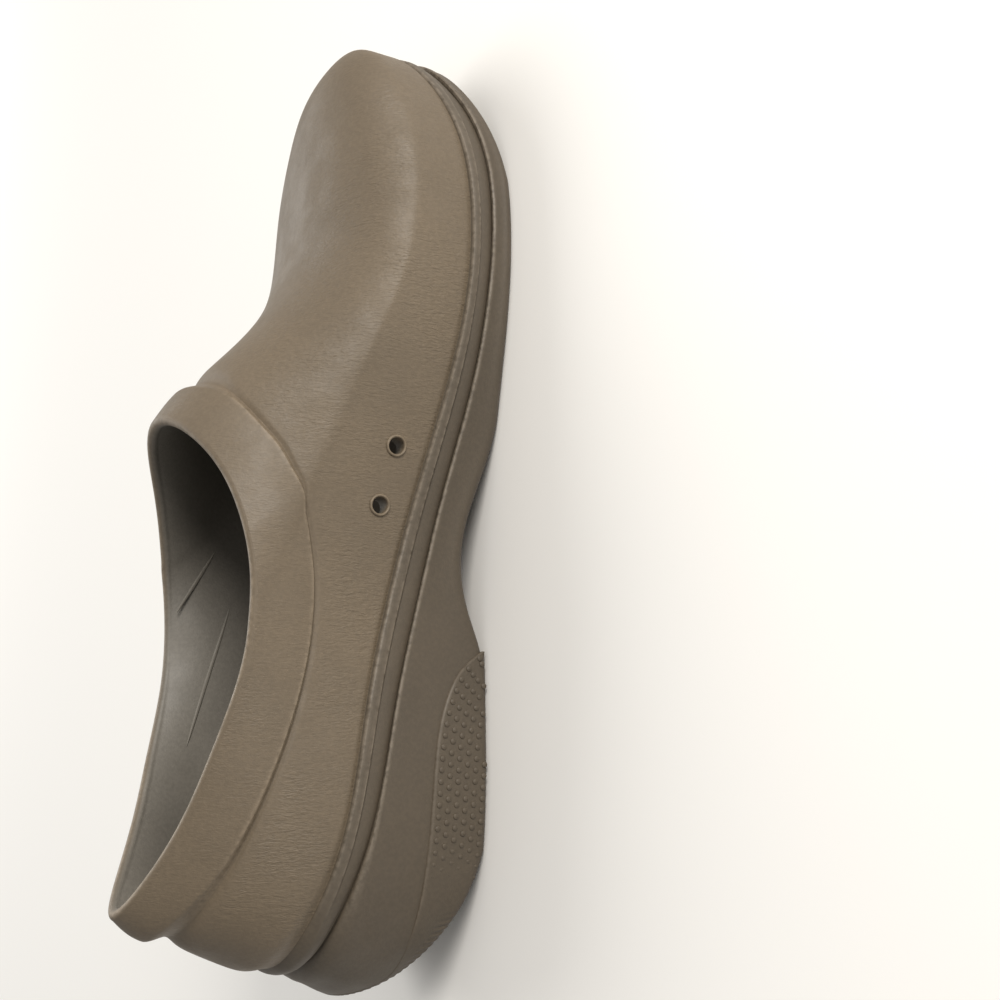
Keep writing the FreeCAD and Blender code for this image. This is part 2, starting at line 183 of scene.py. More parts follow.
COLLAR_WIDTH = natural_spline([0, 0.15, 0.25, 0.36, 0.42, 0.49, 0.55, 0.6, 0.8, 1],
                              [16.4, 16.6, 17.7, 18, 19.4, 20.2, 19, 17.2, 16.6, 16.8])
# How far the seam dips on the inner side, below the collar's own width.
SEAM_DIP = natural_spline([0, 0.38, 0.42, 0.47, 0.5, 0.545, 0.59, 0.65, 0.7, 1],
                          [0, 0, 0.4, 1.7, 1.5, -0.2, 0.0, 0, 0, 0])
ALL_TURNS = np.linspace(0, 1, 201)
MIDDLE_X = (OUTER(ALL_TURNS).max() - INNER(ALL_TURNS).max()) / 2


def smooth(x, low, high):
    q = np.clip((x - low) / (high - low), 0, 1)
    return q * q * (3 - 2 * q)


def lean(station, z):
    """The station at height z, moved by the heel's and the toe's lean."""
    heel = HEEL_LEAN(z) * np.maximum(0, 1 - station / LEAN_REACH) ** 2
    toe = TOE_LEAN(z) * np.maximum(0, 1 - (LENGTH - station) / LEAN_REACH) ** 2
    return station + heel - toe


def half_width(turn, side):
    return np.where(side < 0, INNER(turn), OUTER(turn))


def place(x, station, z):
    """Points in the part's frame, in millimetres."""
    x, station, z = np.broadcast_arrays(x, station, z)
    return np.stack([x - MIDDLE_X, LENGTH / 2 - station, z], axis=-1)


def ring():
    """Turn and side of each ray: up the inner side and back down the outer side."""
    up = np.arange(RAYS + 1) / RAYS
    down = np.arange(RAYS - 1, 0, -1) / RAYS
    turn = np.concatenate([up, down])
    side = np.concatenate([-np.ones(RAYS + 1), np.ones(RAYS - 1)])
    return turn, side


def vamp_height(station, x):
    """Height of the vamp: a superellipse section from its widest line up to its ridge."""
    turn = turn_of(station)
    mid = RIDGE_X(turn)
    low = WIDEST(station)
    inner = (mid - x) / np.maximum(mid + INNER(turn), 1e-6)
    outer = (x - mid) / np.maximum(OUTER(turn) - mid, 1e-6)
    across = np.clip(np.where(x < mid, inner, outer), 0, 1)
    full = np.where(x < mid, FULL_INNER(station), FULL_OUTER(station))
    rise = np.maximum(0, 1 - across ** full) ** (1 / full)
    return low + (RIDGE(station) - low) * rise


def respace(points, shares):
    """The points at given shares of a line's length, and that length."""
    run = np.concatenate([[0], np.cumsum(np.linalg.norm(np.diff(points, axis=0), axis=1))])
    goal = shares * run[-1]
    return np.stack([np.interp(goal, run, points[:, i]) for i in range(3)], axis=-1), run[-1]


def ray(turn, side, shares):
    """Points (x, station, z) up one ray of the upper, from the sole to the rim."""
    plan = station_of(turn)
    z0 = float(LINE_2(plan))
    x0 = side * (float(half_width(turn, side)) - WELT_INSET * math.sin(math.pi * turn))
    s0 = float(lean(plan, z0))
    rim_turn = turn + 0.517 * turn * (1 - turn)
    s1 = float(station_of(rim_turn, RIM_BACK, RIM_FRONT))
    x1 = float(RIM_X(s1)) + side * float(RIM_HALF(rim_turn))
    z1 = float(RIM_HEIGHT(s1))
    power = HEEL_POWER + (SIDE_POWER - HEEL_POWER) * float(smooth(turn, 0, 0.25))
    rise = np.linspace(0, 1, RAY_STEPS + 1)
    inward = rise ** power
    wall = np.stack([x0 + (x1 - x0) * inward, s0 + (s1 - s0) * inward, z0 + (z1 - z0) * rise], -1)
    wall, length = respace(wall, shares)
    share = float(smooth(turn, 0.38, 0.60))
    if share == 0:
        return wall, length
    foot = 16
    up = np.arange(foot) / foot
    under = np.stack([np.full(foot, x0), np.full(foot, s0),
                      z0 + (float(WIDEST(plan)) - z0) * up], -1)
    inward = 1 - np.cos(np.pi / 2 * rise)
    x = x0 + (x1 - x0) * inward
    station = s0 + (s1 - s0) * inward
    over = np.stack([x, station, vamp_height(station, x)], -1)
    over[:, 2] += (z1 - over[-1, 2]) * rise ** 2.5
    over, over_length = respace(np.concatenate([under, over]), shares)
    return wall + (over - wall) * share, length + (over_length - length) * share


def relax(grid, rounds):
    """Even out a closed grid of rings: each inner point drifts to the mean of its neighbours."""
    for _ in range(rounds):
        mean = (np.roll(grid, 1, axis=0) + np.roll(grid, -1, axis=0)) / 4
        mean[:, 1:-1] += (grid[:, 2:] + grid[:, :-2]) / 4
        grid[:, 1:-1] += 0.5 * (mean[:, 1:-1] - grid[:, 1:-1])
    return grid


def grid_normals(grid):
    """Outward unit normals of a grid: first index round the clog, second index upwards."""
    round_it = np.roll(grid, -1, axis=0) - np.roll(grid, 1, axis=0)
    upward = np.gradient(grid, axis=1)
    normal = np.cross(round_it, upward)
    return normal / np.linalg.norm(normal, axis=-1, keepdims=True)


class Skin:
    """The smooth outer surface between sole and rim, sampled by height share."""

    def __init__(self):
        self.turn, self.side = ring()
        shares = np.linspace(0, 1, SKIN_ROWS)
        grid = []
        length = []
        for turn, side in zip(self.turn, self.side):
            points, run = ray(turn, side, shares)
            grid.append(place(points[:, 0], points[:, 1], points[:, 2]))
            length.append(run)
        self.length = np.array(length)
        self.grid = relax(np.array(grid), SKIN_EASE)
        self.normal = grid_normals(self.grid)
        self.shares = shares
        self.seam = self.share_below_rim(COLLAR_WIDTH(self.turn))

    def share_below_rim(self, width):
        """The share at which each ray is this far below the rim, measured on the surface."""
        steps = np.linalg.norm(np.diff(self.grid, axis=1), axis=-1)
        run = np.concatenate([np.zeros((len(steps), 1)), np.cumsum(steps, axis=1)], axis=1)
        left = run[:, -1:] - run
        found = np.array([np.interp(-w, -one, self.shares) for w, one in zip(width, left)])
        for _ in range(SEAM_EASE):
            found += (np.roll(found, 1) + np.roll(found, -1) - 2 * found) / 4
        return found - SEAM_DIP(self.turn) * (self.side < 0) / self.length

    def at(self, share):
        """Points and normals at one share for each ray."""
        spot = np.clip(np.asarray(share), 0, 1) * (len(self.shares) - 1)
        low = np.minimum(spot.astype(int), len(self.shares) - 2)
        part = (spot - low)[:, None]
        i = np.arange(len(self.turn))
        point = self.grid[i, low] * (1 - part) + self.grid[i, low + 1] * part
        normal = self.normal[i, low] * (1 - part) + self.normal[i, low + 1] * part
        return point, normal / np.linalg.norm(normal, axis=-1, keepdims=True)


# ---- meshes ----
class Soup:
    """Vertices in millimetres, faces, and a mark for each vertex: inside (painted shade tone),
    grain, and wear with painted highlight.
    """

    def __init__(self):
        self.verts = []
        self.faces = []
        self.marks = []
        self.count = 0

    def add(self, verts, faces, mark=(0, 0, 0)):
        verts = np.asarray(verts, float).reshape(-1, 3)
        self.verts.append(verts)
        self.faces.extend((np.asarray(face) + self.count).tolist() for face in faces)
        self.marks.append(np.broadcast_to(np.asarray(mark, float), (len(verts), 3)))
        self.count += len(verts)

    def rings(self, rows, marks=None, closed=True, around=True):
        """Faces through rows of points: closed joins the last row to the first."""
        n = len(rows[0])
        last = len(rows) if closed else len(rows) - 1
        i = np.arange(n if around else n - 1)
        k = (i + 1) % n
        for j in range(last):
            a = j * n + self.count
            b = ((j + 1) % len(rows)) * n + self.count
            self.faces.extend(np.stack([a + i, a + k, b + k, b + i], -1).tolist())
        if marks is None:
            marks = [(0, 0, 0)] * len(rows)
        for row, mark in zip(rows, marks):
            self.verts.append(np.asarray(row, float))
            self.marks.append(np.broadcast_to(np.asarray(mark, float), (n, 3)))
        self.count += n * len(rows)

    def copies(self, verts, faces, centre, across, ahead, out, mark=(0, 0, 0)):
        """One small shape set at many places, each with its own three directions."""
        for i in range(len(centre)):
            local = verts[i] if verts.ndim == 3 else verts
            placed = (centre[i] + local[:, :1] * across[i] + local[:, 1:2] * ahead[i]
                      + local[:, 2:] * out[i])
            self.add(placed, faces, mark)

    def piece(self, name, sharp_degrees=38):
        mesh = bpy.data.meshes.new(name)
        mesh.from_pydata((np.concatenate(self.verts) * MM).tolist(), [], self.faces)
        layer = mesh.attributes.new("mark", "FLOAT_VECTOR", "POINT")
        layer.data.foreach_set("vector", np.concatenate(self.marks).ravel())
        finish_mesh(mesh, sharp_degrees)
        return link(name, mesh)


def link(name, mesh):
    thing = bpy.data.objects.new(name, mesh)
    bpy.context.scene.collection.objects.link(thing)
    return thing


def finish_mesh(mesh, sharp_degrees=38):
    """Weld, face outwards, and shade smooth with crisp edges at clear angles."""
    work = bmesh.new()
    work.from_mesh(mesh)
    bmesh.ops.remove_doubles(work, verts=work.verts, dist=2e-6)
    bmesh.ops.dissolve_degenerate(work, dist=1e-7, edges=work.edges)
    bmesh.ops.recalc_face_normals(work, faces=work.faces)
    limit = math.radians(sharp_degrees)
    for face in work.faces:
        face.smooth = True
    for edge in work.edges:
        if len(edge.link_faces) == 2 and edge.calc_face_angle(0) > limit:
            edge.smooth = False
    work.to_mesh(mesh)
    work.free()


def unit(v):
    return v / np.maximum(np.linalg.norm(v, axis=-1, keepdims=True), 1e-12)


def dome(radius, height, sides=10, steps=3, sunk=0.2):
    """A small round bump: its foot is sunk a little below the surface it stands on."""
    verts = [(radius * math.cos(a), radius * math.sin(a), -sunk)
             for a in np.arange(sides) * 2 * math.pi / sides]
    for k in range(steps):
        angle = math.pi / 2 * k / steps
        verts += [(radius * math.cos(angle) * math.cos(a), radius * math.cos(angle) * math.sin(a),
                   height * math.sin(angle)) for a in np.arange(sides) * 2 * math.pi / sides]
    verts.append((0, 0, height))
    faces = [tuple(range(sides - 1, -1, -1))]
    for j in range(steps):
        for i in range(sides):
            k = (i + 1) % sides
            faces.append((j * sides + i, j * sides + k, (j + 1) * sides + k, (j + 1) * sides + i))
    top = len(verts) - 1
    faces += [(steps * sides + i, steps * sides + (i + 1) % sides, top) for i in range(sides)]
    return np.array(verts, float), faces


def lug(width, length, height, sunk=0.5, corner=1.0, bevel=0.45):
    """A rounded block that stands out of the sole, with bevelled edges."""
    levels = [(-sunk, -0.12), (height - bevel, 0.0), (height - bevel * 0.3, bevel * 0.35),
              (height, bevel)]
    verts = []
    for rise, inset in levels:
        for sx, sy, start in ((1, 1, 0), (-1, 1, 1), (-1, -1, 2), (1, -1, 3)):
            for step in range(4):
                angle = math.pi / 2 * (start + step / 3)
                radius = max(corner - inset, 0.1)
                verts.append((sx * (width / 2 - corner) + radius * math.cos(angle),
                              sy * (length / 2 - corner) + radius * math.sin(angle), rise))
    sides = 16
    faces = [tuple(range(sides - 1, -1, -1)), tuple(range(3 * sides, 4 * sides))]
    for j in range(len(levels) - 1):
        for i in range(sides):
            k = (i + 1) % sides
            faces.append((j * sides + i, j * sides + k, (j + 1) * sides + k, (j + 1) * sides + i))
    return np.array(verts, float), faces


# ---- the sole's outline ----
def edge_point(turn, side, z):
    return place(side * half_width(turn, side), lean(station_of(turn), z), z)


def outline(z, inset, turn=None, side=None):
    """Points of the sole's outline at heights z, one for each ray, drawn in by inset."""
    if turn is None:
        turn, side = ring()
    z = np.broadcast_to(z, np.shape(turn)).astype(float)
    step = 1e-3
    ahead = edge_point(np.minimum(turn + step, 1), side, z)
    behind = edge_point(np.maximum(turn - step, 0), side, z)
    along_it = (ahead - behind) * np.where(side < 0, 1, -1)[:, None]
    inward = unit(np.stack([-along_it[:, 1], along_it[:, 0], np.zeros(len(turn))], -1))
    inset = inset + EDGE_SLACK + BACK_SLACK * (1 - smooth(turn, 0.0, 0.15))
    return edge_point(turn, side, z) + inward * inset[:, None]


def to_spine(row, share):
    """A full ring drawn across towards the middle of the sole, at its own stations."""
    partner = np.concatenate([row[:1], row[:0:-1]])
    return row + ((row + partner) / 2 - row) * share


def ground(station):
    """Height of the underside: flat on the floor where its line dips below it."""
    return np.maximum(GROUND(station), 0)


def bottom_edge(turn):
    """Height at which each ray's side meets the underside."""
    plan = station_of(turn)
    low = np.zeros(np.shape(turn))
    high = LINE_1(plan) - 1
    for _ in range(30):
        middle = (low + high) / 2
        under = middle < ground(lean(plan, middle))
        low = np.where(under, middle, low)
        high = np.where(under, high, middle)
    return high


def crease_soft(turn):
    """How soft the sole's moulded creases are: 1 at the heel's back, 0 along the sides."""
    return 1 - smooth(turn, 0.12, 0.30)


def seam_soft(turn):
    """How soft the collar's seam is: 1 at the back and the front of the opening."""
    return 1 - (1 - smooth(turn, 0.70, 0.90)) * smooth(turn, 0.02, 0.24)


# ---- pieces ----
def make_upper(skin):
    """The vamp, sides and heel up to the collar's seam, with the vents bored and the ribs."""
    turn = skin.turn
    soft = seam_soft(turn)
    heel = crease_soft(turn)
    reach = skin.seam * skin.length
    grain = (0.35 + 0.65 * smooth(turn, 0.05, 0.22)) * (1 - 0.75 * smooth(turn, 0.74, 0.95))
    rows = []
    marks = []
    steps = 150
    for j in range(steps + 1):
        share = skin.seam * j / steps
        point, normal = skin.at(share)
        up = share * skin.length
        down = reach - up
        tuck = -(0.45 + 1.35 * heel) * np.exp(-(up / (0.9 + 2.3 * heel)) ** 2)
        valley = -(0.45 + 0.65 * soft) * np.exp(-(down / (0.8 + 2.6 * soft)) ** 2)
        rows.append(point + normal * (tuck + valley)[:, None])
        calm = 1 - np.exp(-(down / 3) ** 2)
        marks.append(np.stack([0 * turn, grain * calm, 0 * turn], -1))
    low = rows[0].copy()
    low[:, 2] -= UPPER_SINK
    rows.insert(0, low)
    marks.insert(0, marks[0])
    # The inner wall and its foot carry the inside mark: painted shade tone.
    for j in range(40, -1, -1):
        point, normal = skin.at(skin.seam * j / 40)
        rows.append(point - normal * UPPER_WALL)
        marks.append((1, 0.15, 0))
    under = rows[-1].copy()
    under[:, 2] -= UPPER_SINK
    rows.append(under)
    marks.append((1, 0, 0))
    soup = Soup()
    soup.rings(rows, marks)
    upper = soup.piece("upper")
    cut_vents(upper, skin, rows, marks)
    return upper


def vent_frames(skin):
    """Centre and outward normal of each vent on the inner side."""
    found = []
    inner = np.flatnonzero(skin.side < 0)
    grid = skin.grid[inner]
    for station, height in VENTS:
        goal = np.array([LENGTH / 2 - station, height])
        away = np.linalg.norm(grid[:, :, 1:] - goal, axis=-1)
        i, j = np.unravel_index(np.argmin(away), away.shape)
        found.append((grid[i, j], skin.normal[inner][i, j]))
    return found


def turned(profile, centre, axis, steps=48):
    """A ring-shaped body: profile is (radius, height) in mm, closed onto itself."""
    spin = np.array(Vector(axis).to_track_quat("Z", "Y").to_matrix())
    angle = 2 * np.pi * np.arange(steps) / steps
    rows = []
    for radius, height in profile:
        local = np.stack([radius * np.cos(angle), radius * np.sin(angle),
                          np.full(steps, height)], -1)
        rows.append(centre + local @ spin.T)
    return rows


def cut_vents(upper, skin, rows, marks):
    """Bore the vents through the wall and set a moulded ring round each mouth."""
    work = bmesh.new()
    for centre, _ in vent_frames(skin):
        drill = Matrix.Translation(Vector(centre * MM)) @ Vector((1, 0, 0)).to_track_quat(
            "Z", "Y").to_matrix().to_4x4()
        bmesh.ops.create_cone(work, cap_ends=True, segments=64, radius1=VENT_BORE / 2 * MM,
                              radius2=VENT_BORE / 2 * MM, depth=24 * MM, matrix=drill)
    mesh = bpy.data.meshes.new("vent_cutter")
    work.to_mesh(mesh)
    work.free()
    cutter = link("vent_cutter", mesh)
    step = upper.modifiers.new("vents", "BOOLEAN")
    step.operation = "DIFFERENCE"
    step.solver = "EXACT"
    step.object = cutter
    graph = bpy.context.evaluated_depsgraph_get()
    bored = bpy.data.meshes.new_from_object(upper.evaluated_get(graph))
    bpy.data.objects.remove(cutter)

    soup = Soup()
    verts = np.empty(len(bored.vertices) * 3)
    bored.vertices.foreach_get("co", verts)
    verts = verts.reshape(-1, 3) / MM
    tree = KDTree(len(rows) * len(rows[0]))
    flat = np.concatenate(rows)
    full = np.concatenate([np.broadcast_to(np.asarray(m, float), (len(rows[0]), 3)) for m in marks])
    for i, point in enumerate(flat):
        tree.insert(point, i)
    tree.balance()
    near = [tree.find(v)[1] for v in verts]
    soup.verts.append(verts)
    soup.marks.append(full[near])
    soup.faces.extend(list(face.vertices) for face in bored.polygons)
    soup.count = len(verts)
    middle = (VENT_BORE + VENT_RING) / 4
    half = (VENT_RING - VENT_BORE) / 4
    profile = [(middle + half * 1.15 * math.cos(a), 0.05 + 0.6 * math.sin(a))
               for a in np.arange(14) * 2 * math.pi / 14]
    # Each ring is marked pale: wear and painted highlight.
    for centre, normal in vent_frames(skin):
        soup.rings(turned(profile, centre, normal), [(0, 0, 0.35)] * len(profile))
    for path in LINING_RIBS:
        soup.rings(*rib_rows(skin, path), closed=False)
    bored_name = bored.name
    final = soup.piece("upper_final", 42)
    upper.modifiers.clear()
    upper.data = final.data
    bpy.data.objects.remove(final)
    bpy.data.meshes.remove(bpy.data.meshes[bored_name])


def rib_rows(skin, path, thick=0.6, proud=0.3, steps=30):
    """A tapering rib on the outer side's inner wall, between two (station, height) points."""
    outer = np.flatnonzero(skin.side > 0)
    within = (skin.grid - skin.normal * UPPER_WALL)[outer]
    normals = skin.normal[outer]
    centre = []
    normal = []
    for k in range(steps + 1):
        station, height = np.array(path[0]) + (np.array(path[1]) - path[0]) * k / steps
        away = np.linalg.norm(within[:, :, 1:] - (LENGTH / 2 - station, height), axis=-1)
        near = np.argsort(away, axis=None)[:4]
        weight = 1 / (away.ravel()[near] + 1e-3)
        weight /= weight.sum()
        centre.append(weight @ within.reshape(-1, 3)[near])
        normal.append(unit(weight @ normals.reshape(-1, 3)[near]))
    centre = np.array(centre)
    for _ in range(30):
        centre[1:-1] += (centre[:-2] + centre[2:] - 2 * centre[1:-1]) / 4
    normal = np.array(normal)
    ahead = unit(np.gradient(centre, axis=0))
    across = unit(np.cross(ahead, normal))
    swell = np.cos(np.linspace(-1, 1, steps + 1) * np.pi / 2) ** 0.5
    rows = []
    for k in range(steps + 1):
        size = max(swell[k], 0.02)
        angle = np.arange(12) * 2 * np.pi / 12
        rows.append(centre[k] + across[k] * (thick * size * np.cos(angle))[:, None]
                    - normal[k] * (proud * size * np.sin(angle))[:, None])
    first = np.repeat(rows[0].mean(axis=0)[None], 12, axis=0)
    last = np.repeat(rows[-1].mean(axis=0)[None], 12, axis=0)
    rows = [first] + rows + [last]
    # The ribs take the inside colour, painted shade tone, with a faint pale mark: wear and painted
    # highlight.
    return rows, [(1, 0, 0.08)] * len(rows)


def make_collar(skin):
    """The band round the foot opening, proud of the upper, with a rounded rim."""
    turn = skin.turn
    soft = seam_soft(turn)
    width = (1 - skin.seam) * skin.length
    edge = 1.1 + 4.4 * soft
    back = 1 - smooth(turn, 0.0, 0.2)
    rows = []
    marks = []
    steps = 60
    lip = LIP_RADIUS
    rise = width - lip - RIM_SLACK
    for j in range(steps + 1):
        near = (j / steps) ** 1.25
        run = near * rise
        point, normal = skin.at(skin.seam + run / skin.length)
        start = -(0.35 + 0.7 * soft)
        swell = smooth(run, 0, edge)
        crown = COLLAR_PROUD + (0.45 + 0.9 * back) * np.sin(np.pi * near)
        rows.append(point + normal * (start + (crown - start) * swell)[:, None])
        # A pale line just above the seam along the sides: wear and painted highlight.
        wear_and_highlight = 0.45 * np.exp(-((run - 1.1) / 0.7) ** 2) * (1 - soft)
        marks.append(np.stack([0 * turn, 0.6 + 0 * turn, wear_and_highlight], -1))
    point, normal = skin.at(skin.seam + rise / skin.length)
    tip, _ = skin.at(np.ones(len(turn)))
    upward = unit(tip - point)
    centre = point + normal * (COLLAR_PROUD - lip)
    # Over the rim the colour turns to the painted inside shade tone, with a pale band on its crown:
    # wear and painted highlight.
    for k in range(1, 15):
        angle = math.pi * k / 14
        rows.append(centre + upward * lip * math.sin(angle) + normal * lip * math.cos(angle))
        marks.append((smooth(k, 6, 13), 0.1, 0.7 * math.exp(-((k - 5.5) / 2.2) ** 2)))
    # The collar's inner face carries the inside mark: painted shade tone.
    for j in range(30, -1, -1):
        near = j / 30
        run = near * rise
        point, normal = skin.at(skin.seam + run / skin.length)
        depth = UPPER_WALL + (2 * lip - COLLAR_PROUD - UPPER_WALL) * near ** 3
        rows.append(point - normal * depth)
        marks.append((1, 0.1, 0))
    soup = Soup()
    soup.rings(rows, marks)
    return soup.piece("collar")


def make_midsole():
    """A welt that runs round the clog, with a bead on top, and the cup that holds the foot."""
    turn, _ = ring()
    plan = station_of(turn)
    low = LINE_1(plan)
    tall = LINE_2(plan) - low
    soft = crease_soft(turn)
    rows = []
    marks = []
    # Each row's last value pales the bead's edges: wear and painted highlight.
    for height, inset, wear_and_highlight in BEAD:
        bead = 2.5 - 2.5 * math.sin(math.pi * height) ** 0.7
        rows.append(outline(low + tall * height, inset + (bead - inset) * soft))
        marks.append(np.stack([0 * turn, 0 * turn, wear_and_highlight * (1 - soft)], -1))
    bed = POCKET(plan) + BED_RISE
    top = low + tall
    # The cup's faces carry the inside mark: painted shade tone.
    for z, inset in ((top, 3.0), (top, CUP_INSET - 0.6), (top - 0.6, CUP_INSET),
                     (bed - 1.5, CUP_INSET), (bed - 2.0, CUP_INSET - 2),
                     (np.minimum(low, bed + 1), CUP_INSET - 3)):
        rows.append(outline(z, inset))
        marks.append((1, 0, 0))
    soup = Soup()
    soup.rings(rows, marks)
    return soup.piece("midsole_band", 30)


def make_outsole():
    """The shell under the welt: lip, walls, rounded lower edge, and recesses for the treads."""
    turn, _ = ring()
    plan = station_of(turn)
    top = LINE_1(plan)
    soft = crease_soft(turn)
    base = bottom_edge(turn)
    rows = []
    marks = []
    # Each row's last value pales the lip's edge: wear and painted highlight.
    for crisp, eased, wear_and_highlight in SOLE_LIP:
        drop = crisp[0] + (eased[0] - crisp[0]) * soft
        inset = crisp[1] + (eased[1] - crisp[1]) * soft
        rows.append(outline(top - drop, inset))
        marks.append(np.stack([0 * turn, 0 * turn, wear_and_highlight * (1 - soft)], -1))
    start = top - (1.0 + 3.5 * soft)
    tall = start - base
    edge = np.minimum(3.2, tall * 0.4)
    for share in np.linspace(0.1, 1, 8):
        z = start - (tall - edge) * share
        rows.append(outline(z, 0.22 * math.sin(math.pi * share)))
        marks.append((0, 0, 0))
    for k in range(1, 11):
        angle = math.pi / 2 * k / 10
        rows.append(outline(base + edge * (1 - math.sin(angle)), edge * (1 - math.cos(angle))))
        marks.append((0, 0, 0))
    where = lean(plan, base)
    fore = smooth(where, 147, 151) * (1 - smooth(where, 262, 268))
    heel = 1 - smooth(where, 88, TREAD_FRONT)
    recess = TREAD_RECESS * np.maximum(fore, heel)
    rows.append(outline(base, edge + 0.6))
    rows.append(outline(base + recess, edge + 0.9 + 0.3 * recess))
    marks += [(0, 0, 0)] * 2
    last = rows[-1]
    for k in range(1, 13):
        rows.append(to_spine(last, k / 12))
        marks.append((0, 0, 0))
    pocket = np.minimum(POCKET(plan), top - 1.6)
    cup = [outline(pocket, OUTSOLE_WALL), outline(np.maximum(pocket, top - 1.3), OUTSOLE_WALL)]
    floor = [to_spine(cup[0], 1 - k / 4) for k in range(4)]
    soup = Soup()
    soup.rings(floor + cup + rows, [(0, 0, 0)] * 6 + marks, closed=False)
    return soup.piece("outsole_shell", 34)


def lug_rows(soup, stations, length, inset, pitch, base):
    """Rows of blocks across the underside; base is how far the plate lies above the ground."""
    for k, station in enumerate(stations):
        turn = turn_of(float(station))
        left = -float(INNER(turn)) + inset
        right = float(OUTER(turn)) - inset
        count = max(2, round((right - left) / pitch))
        wide = (right - left) / count
        cuts = left + wide * np.arange(count + 1)
        if k % 2:
            cuts = np.concatenate([[left], cuts[:-1] + wide / 2, [right]])
        slope = float(ground(station + 0.5) - ground(station - 0.5))
        ahead = unit(np.array([0, -1, slope]))
        across = np.array([-1.0, 0, 0])
        out = np.cross(across, ahead)
        height = float(ground(station))
        for a, b in zip(cuts, cuts[1:]):
            if b - a < 2.6:
                continue
            verts, faces = lug(b - a - 1.7, length, base, corner=min(1.0, (b - a - 1.7) / 2.2))
            centre = place((a + b) / 2, station, height + base)
            soup.copies(verts, faces, centre[None], across[None], ahead[None], out[None])


def make_forefoot_tread():
    """A thin plate in the sole's recess, with rows of blocks and channels between them."""
    turn, side = ring()
    plan = station_of(turn)
    base = bottom_edge(turn)
    where = lean(plan, base)
    keep = np.flatnonzero((where > 150.5) & (where < 264) & (side < 0))
    left_turn = turn[keep]
    edge = 4.6
    low = bottom_edge(left_turn)
    left = outline(low, edge, left_turn, -np.ones(len(keep)))
    right = outline(low, edge, left_turn, np.ones(len(keep)))
    shares = np.linspace(0, 1, 13)[:, None, None]
    sheet = left + (right - left) * shares
    height = ground(LENGTH / 2 - sheet[..., 1])
    top = sheet.copy()
    top[..., 2] = height + 2.1
    low_face = sheet.copy()
    low_face[..., 2] = height + 1.2
    soup = Soup()
    rows = list(low_face) + list(top[::-1])
    soup.rings(rows, around=False)
    ends = len(rows[0])
    count = len(rows)
    for column in (0, ends - 1):
        for j in range(count // 2 - 1):
            soup.faces.append([j * ends + column, (j + 1) * ends + column,
                               (count - 2 - j) * ends + column, (count - 1 - j) * ends + column])
    lug_rows(soup, np.arange(158.5, 262, 9.0), 6.4, 6.0, 8.0, 1.4)
    return soup.piece("forefoot_pad", 34)


def make_heel_tread():
    """The heel's cap: a proud patch on the flanks with round bumps, blocks underneath."""
    columns = 420
    end = float(turn_of(TREAD_FRONT))
    turn = np.abs(np.linspace(-end, end, 2 * columns + 1))
    side = np.concatenate([-np.ones(columns + 1), np.ones(columns)])
    plan = station_of(turn)
    base = bottom_edge(turn)
    behind = 1 - smooth(plan, 12, 30)
    above = HEEL_TREAD_TOP(plan) - base
    least = 0.25 + BACK_CREST * behind
    crest = base + 0.5 * (above + least + np.sqrt((above - least) ** 2 + 4 * behind ** 2))
    tall = crest - base
    edge = np.minimum(2.6, tall * 0.45)
    run = np.concatenate([[0], np.cumsum(np.linalg.norm(np.diff(
        edge_point(turn, side, 8.0), axis=0), axis=1))])
    back = 1 - smooth(plan, 12, 26)
    flush = 0.42 * back
    notch = back * (0.5 + 0.5 * np.cos(2 * np.pi * run / NOTCH_PITCH)) * NOTCH_DEPTH
    rows = []
    marks = []
    # Each row's last value pales the tread's ledge: wear and painted highlight.
    for drop, inset, wear_and_highlight in TREAD_EDGE:
        rows.append(outline(crest - drop * np.minimum(1, tall / 3), inset + flush, turn, side))
        marks.append(np.stack([0 * turn, 0 * turn, 0.45 * wear_and_highlight * (1 - back)], -1))
    start = crest - 0.9 * np.minimum(1, tall / 3)
    for share in np.linspace(0.08, 1, 12):
        z = start - (start - base - edge) * share
        cut = notch * smooth(share, 0.45, 0.9)
        rows.append(outline(z, cut - TREAD_PROUD + flush, turn, side))
        marks.append((0, 0, 0))
    for k in range(1, 9):
        angle = math.pi / 2 * k / 8
        cut = notch * (1 - 0.5 * k / 8)
        tuck = (edge + TREAD_PROUD) * (1 - math.cos(angle))
        rows.append(outline(base + edge * (1 - math.sin(angle)),
                            cut - TREAD_PROUD + flush + tuck, turn, side))
        marks.append((0, 0, 0))
    rows.append(outline(base, edge + 1.3, turn, side))
    rows.append(outline(base + HEEL_LUG, edge + 1.9, turn, side))
    marks += [(0, 0, 0)] * 2
    last = rows[-1]
    middle = (last + last[::-1]) / 2
    for k in range(1, 9):
        rows.append(last + (middle - last) * k / 8)
        marks.append((0, 0, 0))
    inner = outline(base + HEEL_LUG + 1.2, edge + 1.9, turn, side)
    hidden = [inner + ((inner + inner[::-1]) / 2 - inner) * share for share in (1.0, 0.5, 0.0)]
    hidden.append(outline(np.maximum(crest - 1.5, base + HEEL_LUG + 1.2), 1.8, turn, side))
    rows = hidden + rows
    marks = [(0, 0, 0)] * len(hidden) + marks
    sheet = Soup()
    sheet.rings(rows, marks, closed=False, around=False)
    ends = len(rows[0])
    for column in (0, ends - 1):
        sheet.faces.append([j * ends + column for j in range(len(rows))])
    for bumps in heel_bumps():
        sheet.copies(*bumps)
    lug_rows(sheet, [46, 54, 62, 70, 78, 86], 5.6, 5.2, 7.6, HEEL_LUG)
    lug_rows(sheet, [38, 30.5, 23.5], 5.2, 5.6, 7.6, HEEL_LUG)
    return sheet.piece("heel_cap", 34)


